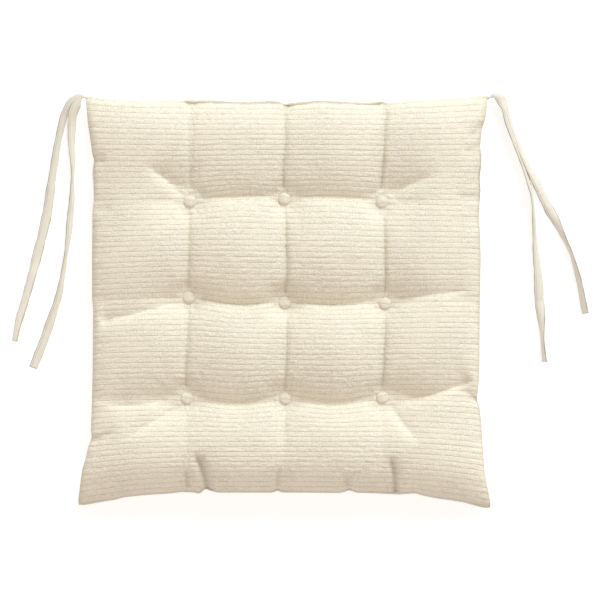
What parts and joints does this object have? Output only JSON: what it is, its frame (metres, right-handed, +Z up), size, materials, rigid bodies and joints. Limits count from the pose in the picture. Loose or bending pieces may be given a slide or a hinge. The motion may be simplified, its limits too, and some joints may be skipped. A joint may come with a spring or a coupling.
{
  "type": "chair seat pad",
  "caption": "Square knife-edge chair seat pad in ivory ribbed cloth, tufted with covered buttons, with tape ties at the rear corners.",
  "frame": {"origin": "middle of the pad's footprint, ties left out, on the surface it lies on", "axes": "+Z up through the tufts, +Y towards the rear edge whose corners carry the ties, +X to the right"},
  "size_m": [0.5734, 0.4089, 0.0497],
  "materials": {
    "ribbed_cloth": "matte",
    "button_cloth": "matte",
    "polyester_fibre": "matte",
    "button_steel": "satin",
    "cotton_thread": "matte",
    "cotton_tape": "matte"
  },
  "bodies": {
    "pad": {"cover_top_panel": "ribbed_cloth", "cover_bottom_panel": "ribbed_cloth", "wadding_core": "polyester_fibre", "top_button_cap_rear_left": "button_cloth", "top_button_cap_rear_middle": "button_cloth", "top_button_cap_rear_right": "button_cloth", "top_button_cap_centre_left": "button_cloth", "top_button_cap_centre_middle": "button_cloth", "top_button_cap_centre_right": "button_cloth", "top_button_cap_front_left": "button_cloth", "top_button_cap_front_middle": "button_cloth", "top_button_cap_front_right": "button_cloth", "base_button_cap_rear_left": "button_cloth", "base_button_cap_rear_middle": "button_cloth", "base_button_cap_rear_right": "button_cloth", "base_button_cap_centre_left": "button_cloth", "base_button_cap_centre_middle": "button_cloth", "base_button_cap_centre_right": "button_cloth", "base_button_cap_front_left": "button_cloth", "base_button_cap_front_middle": "button_cloth", "base_button_cap_front_right": "button_cloth", "top_button_back_rear_left": "button_steel", "top_button_back_rear_middle": "button_steel", "top_button_back_rear_right": "button_steel", "top_button_back_centre_left": "button_steel", "top_button_back_centre_middle": "button_steel", "top_button_back_centre_right": "button_steel", "top_button_back_front_left": "button_steel", "top_button_back_front_middle": "button_steel", "top_button_back_front_right": "button_steel", "base_button_back_rear_left": "button_steel", "base_button_back_rear_middle": "button_steel", "base_button_back_rear_right": "button_steel", "base_button_back_centre_left": "button_steel", "base_button_back_centre_middle": "button_steel", "base_button_back_centre_right": "button_steel", "base_button_back_front_left": "button_steel", "base_button_back_front_middle": "button_steel", "base_button_back_front_right": "button_steel", "tuft_cord_rear_left": "cotton_thread", "tuft_cord_rear_middle": "cotton_thread", "tuft_cord_rear_right": "cotton_thread", "tuft_cord_centre_left": "cotton_thread", "tuft_cord_centre_middle": "cotton_thread", "tuft_cord_centre_right": "cotton_thread", "tuft_cord_front_left": "cotton_thread", "tuft_cord_front_middle": "cotton_thread", "tuft_cord_front_right": "cotton_thread", "seam_thread": "cotton_thread", "closing_stitch": "cotton_thread", "tie_bar_tack_left": "cotton_thread", "tie_bar_tack_right": "cotton_thread"},
    "tie_left_inner_body": {"tie_left_inner": "cotton_tape"},
    "tie_left_outer_body": {"tie_left_outer": "cotton_tape"},
    "tie_right_inner_body": {"tie_right_inner": "cotton_tape"},
    "tie_right_outer_body": {"tie_right_outer": "cotton_tape"}
  },
  "joints": [
    {"name": "tie_left_inner_swing", "type": "hinge", "parent": "pad", "child": "tie_left_inner_body", "pos_m": [-0.19913, 0.20269, 0.007], "axis": [0, 0, -1], "range_deg": [0, 95]},
    {"name": "tie_left_outer_swing", "type": "hinge", "parent": "pad", "child": "tie_left_outer_body", "pos_m": [-0.19913, 0.20269, 0.007], "axis": [0, 0, -1], "range_deg": [0, 95]},
    {"name": "tie_right_inner_swing", "type": "hinge", "parent": "pad", "child": "tie_right_inner_body", "pos_m": [0.20317, 0.20254, 0.007], "axis": [0, 0, 1], "range_deg": [0, 95]},
    {"name": "tie_right_outer_swing", "type": "hinge", "parent": "pad", "child": "tie_right_outer_body", "pos_m": [0.20317, 0.20254, 0.007], "axis": [0, 0, 1], "range_deg": [0, 95]}
  ]
}
